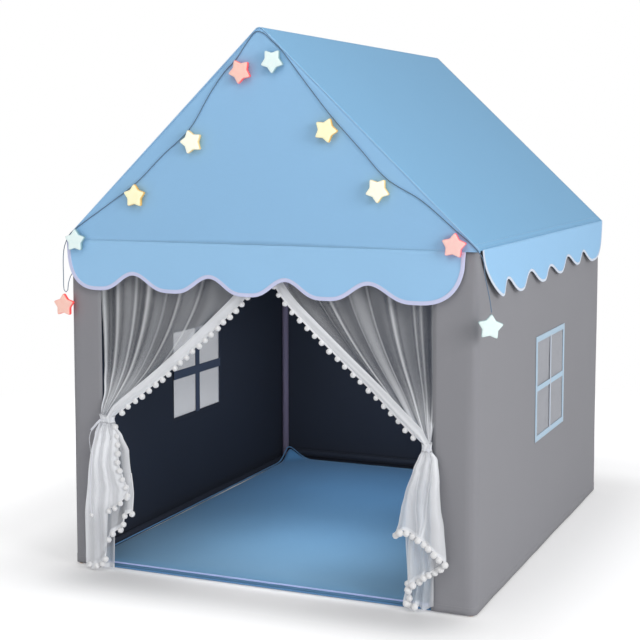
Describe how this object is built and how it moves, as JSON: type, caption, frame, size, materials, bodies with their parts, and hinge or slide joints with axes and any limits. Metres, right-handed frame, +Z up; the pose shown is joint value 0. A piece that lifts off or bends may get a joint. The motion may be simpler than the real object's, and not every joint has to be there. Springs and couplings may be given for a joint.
{
  "type": "play tent",
  "caption": "Child's house-shaped play tent: pole frame, cloth walls and pitched roof with scalloped valances, tied-back sheer door curtains, floor mat and star string lights.",
  "frame": {"origin": "on the floor under the middle of the tent, on the floor mat's underside", "axes": "+Z up, the door faces -Y, +X to the right of someone who looks at the door"},
  "size_m": [1.1484, 1.3086, 1.3298],
  "materials": {
    "pine_pole": "bare, lightly sanded",
    "pole_connector": "moulded",
    "wall_cloth": "matt polyester weave",
    "roof_cloth": "matt polyester weave",
    "valance_cloth": "matt polyester weave with a piped edge",
    "window_tape": "sewn tape round fine net",
    "floor_mat": "short plush with a piped edge",
    "sheer_curtain": "sheer voile with ball trim",
    "light_cord": "thin flexible lead",
    "battery_case": "moulded",
    "battery_switch": "moulded",
    "battery_cell": "satin",
    "star_mint": "moulded, lit from inside",
    "star_yellow": "moulded, lit from inside",
    "star_pale": "moulded, lit from inside",
    "star_red": "moulded, lit from inside",
    "star_pink": "moulded, lit from inside"
  },
  "bodies": {
    "root": {"base_rail_left": "pine_pole", "base_rail_rear": "pine_pole", "base_rail_right": "pine_pole", "battery_box": "battery_case", "battery_cell": "battery_cell", "curtain_left": "sheer_curtain", "curtain_right": "sheer_curtain", "curtain_tie_left": "sheer_curtain", "curtain_tie_right": "sheer_curtain", "eave_connector_front_left": "pole_connector", "eave_connector_front_right": "pole_connector", "eave_connector_rear_left": "pole_connector", "eave_connector_rear_right": "pole_connector", "eave_rail_front": "pine_pole", "eave_rail_left": "pine_pole", "eave_rail_rear": "pine_pole", "eave_rail_right": "pine_pole", "floor_mat": "floor_mat", "gable_front": "roof_cloth", "gable_rear": "roof_cloth", "light_cord": "light_cord", "rafter_front_left": "pine_pole", "rafter_front_right": "pine_pole", "rafter_rear_left": "pine_pole", "rafter_rear_right": "pine_pole", "ridge_connector_front": "pole_connector", "ridge_connector_rear": "pole_connector", "ridge_pole": "pine_pole", "roof_left": "roof_cloth", "roof_right": "roof_cloth", "upright_front_left": "pine_pole", "upright_front_right": "pine_pole", "upright_rear_left": "pine_pole", "upright_rear_right": "pine_pole", "valance_front": "valance_cloth", "valance_left": "valance_cloth", "valance_rear": "valance_cloth", "valance_right": "valance_cloth", "wall_front_left": "wall_cloth", "wall_front_right": "wall_cloth", "wall_left": "wall_cloth", "wall_rear": "wall_cloth", "wall_right": "wall_cloth", "window_left": "window_tape", "window_right": "window_tape"},
    "star_01": {"star_01": "star_red"},
    "star_02": {"star_02": "star_mint"},
    "star_03": {"star_03": "star_yellow"},
    "star_04": {"star_04": "star_pale"},
    "star_05": {"star_05": "star_red"},
    "star_06": {"star_06": "star_mint"},
    "star_07": {"star_07": "star_yellow"},
    "star_08": {"star_08": "star_pale"},
    "star_09": {"star_09": "star_pink"},
    "star_10": {"star_10": "star_mint"},
    "curtain_tail_left": {"curtain_tail_left": "sheer_curtain"},
    "curtain_tail_right": {"curtain_tail_right": "sheer_curtain"},
    "battery_cover": {"battery_cover": "battery_case"},
    "battery_switch": {"battery_switch": "battery_switch"}
  },
  "joints": [
    {"name": "star_01_swing", "type": "hinge", "parent": "root", "child": "star_01", "pos_m": [-0.53309, -0.6431, 0.68998], "axis": [-1, 0, 0], "range_deg": [0, 60]},
    {"name": "star_02_swing", "type": "hinge", "parent": "root", "child": "star_02", "pos_m": [-0.49802, -0.6431, 0.85131], "axis": [-1, 0, 0], "range_deg": [0, 60]},
    {"name": "star_03_swing", "type": "hinge", "parent": "root", "child": "star_03", "pos_m": [-0.329, -0.6431, 0.9629], "axis": [-1, 0, 0], "range_deg": [0, 60]},
    {"name": "star_04_swing", "type": "hinge", "parent": "root", "child": "star_04", "pos_m": [-0.18248, -0.6431, 1.09149], "axis": [-0.9563, 0, -0.2924], "range_deg": [0, 60]},
    {"name": "star_05_swing", "type": "hinge", "parent": "root", "child": "star_05", "pos_m": [-0.05943, -0.6431, 1.25139], "axis": [-0.8829, 0, -0.4695], "range_deg": [0, 60]},
    {"name": "star_06_swing", "type": "hinge", "parent": "root", "child": "star_06", "pos_m": [0.05572, -0.6431, 1.27113], "axis": [-0.809, 0, 0.5878], "range_deg": [0, 60]},
    {"name": "star_07_swing", "type": "hinge", "parent": "root", "child": "star_07", "pos_m": [0.18188, -0.6431, 1.11661], "axis": [-0.9272, 0, 0.3746], "range_deg": [0, 60]},
    {"name": "star_08_swing", "type": "hinge", "parent": "root", "child": "star_08", "pos_m": [0.3135, -0.6431, 0.97921], "axis": [-0.809, 0, 0.5878], "range_deg": [0, 60]},
    {"name": "star_09_swing", "type": "hinge", "parent": "root", "child": "star_09", "pos_m": [0.47739, -0.6431, 0.86587], "axis": [-0.9945, 0, 0.1045], "range_deg": [0, 60]},
    {"name": "star_10_swing", "type": "hinge", "parent": "root", "child": "star_10", "pos_m": [0.55869, -0.6441, 0.69115], "axis": [-0.9361, -0.3407, 0.0872], "range_deg": [0, 45]},
    {"name": "curtain_tail_left_swing", "type": "hinge", "parent": "root", "child": "curtain_tail_left", "pos_m": [-0.419, -0.644, 0.369], "axis": [-1, 0, 0], "range_deg": [0, 40]},
    {"name": "curtain_tail_right_swing", "type": "hinge", "parent": "root", "child": "curtain_tail_right", "pos_m": [0.419, -0.644, 0.369], "axis": [-1, 0, 0], "range_deg": [0, 40]},
    {"name": "battery_cover_slide", "type": "slide", "parent": "root", "child": "battery_cover", "axis": [0, 0, -1], "range_m": [0, 0.04]},
    {"name": "battery_switch_slide", "type": "slide", "parent": "root", "child": "battery_switch", "axis": [0, 1, 0], "range_m": [0, 0.005]}
  ]
}
